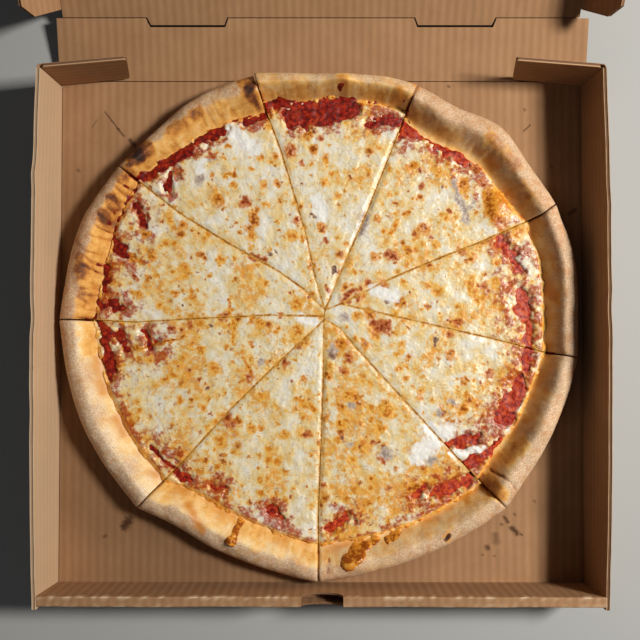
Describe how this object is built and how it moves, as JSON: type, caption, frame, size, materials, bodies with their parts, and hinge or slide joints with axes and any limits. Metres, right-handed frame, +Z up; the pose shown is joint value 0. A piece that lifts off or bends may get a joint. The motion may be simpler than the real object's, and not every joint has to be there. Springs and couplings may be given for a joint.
{
  "type": "pizza in its box",
  "caption": "Round cheese pizza cut into slices, in an open flat box of brown corrugated board with a folding lid.",
  "frame": {"origin": "middle of the tray's underside, on the surface it stands on", "axes": "+Z up, +Y to the back of the box where the lid is hinged, +X to the right seen from the front"},
  "size_m": [0.43, 0.7696, 0.2345],
  "materials": {
    "kraft_board": "matt brown corrugated board with faint flute lines",
    "crust": "matt baked bread crust, floury outside and golden inside",
    "sauce": "wet red tomato sauce",
    "cheese": "cream melted cheese with browned spots and an oily sheen"
  },
  "bodies": {
    "tray": {"tray": "kraft_board", "slice_1_dough": "crust", "slice_1_sauce": "sauce", "slice_1_cheese": "cheese", "slice_2_dough": "crust", "slice_2_sauce": "sauce", "slice_2_cheese": "cheese", "slice_3_dough": "crust", "slice_3_sauce": "sauce", "slice_3_cheese": "cheese", "slice_4_dough": "crust", "slice_4_sauce": "sauce", "slice_4_cheese": "cheese", "slice_5_dough": "crust", "slice_5_sauce": "sauce", "slice_5_cheese": "cheese", "slice_6_dough": "crust", "slice_6_sauce": "sauce", "slice_6_cheese": "cheese", "slice_7_dough": "crust", "slice_7_sauce": "sauce", "slice_7_cheese": "cheese", "slice_8_dough": "crust", "slice_8_sauce": "sauce", "slice_8_cheese": "cheese", "slice_9_dough": "crust", "slice_9_sauce": "sauce", "slice_9_cheese": "cheese"},
    "back": {"back_panel": "kraft_board"},
    "lid": {"lid_panel": "kraft_board"},
    "left_side_flap": {"lid_flap_left": "kraft_board"},
    "right_side_flap": {"lid_flap_right": "kraft_board"},
    "tuck_flap": {"lid_flap_front": "kraft_board"},
    "left_ear": {"ear_left": "kraft_board"},
    "right_ear": {"ear_right": "kraft_board"}
  },
  "joints": [
    {"name": "back_fold", "type": "hinge", "parent": "tray", "child": "back", "pos_m": [0, 0.1923, 0.0028], "axis": [1, 0, 0], "range_deg": [-12.4, 77.6]},
    {"name": "lid_fold", "type": "hinge", "parent": "back", "child": "lid", "pos_m": [0, 0.23801, 0.01285], "axis": [1, 0, 0], "range_deg": [-18.6, 71.4]},
    {"name": "tuck_fold", "type": "hinge", "parent": "lid", "child": "tuck_flap", "pos_m": [0, 0.56073, 0.20676], "axis": [1, 0, 0], "range_deg": [-35, 55]},
    {"name": "left_flap_fold", "type": "hinge", "parent": "lid", "child": "left_side_flap", "pos_m": [-0.1968, 0.23801, 0.01285], "axis": [0, 0.8572, 0.515], "range_deg": [-3.4, 21.1]},
    {"name": "right_flap_fold", "type": "hinge", "parent": "lid", "child": "right_side_flap", "pos_m": [0.1968, 0.23801, 0.01285], "axis": [0, -0.8572, -0.515], "range_deg": [-3.4, 21.1]},
    {"name": "left_ear_fold", "type": "hinge", "parent": "tray", "child": "left_ear", "pos_m": [-0.2016, 0.1886, 0], "axis": [0, 0, -1], "range_deg": [-0.9, 5.3]},
    {"name": "right_ear_fold", "type": "hinge", "parent": "tray", "child": "right_ear", "pos_m": [0.2016, 0.1886, 0], "axis": [0, 0, 1], "range_deg": [-0.8, 4.7]}
  ],
  "couplings": [
    {"joint": "left_flap_fold", "follows": "back_fold", "ratio": 0.27062},
    {"joint": "right_flap_fold", "follows": "back_fold", "ratio": 0.27062},
    {"joint": "left_ear_fold", "follows": "back_fold", "ratio": 0.06701},
    {"joint": "right_ear_fold", "follows": "back_fold", "ratio": 0.059278}
  ]
}
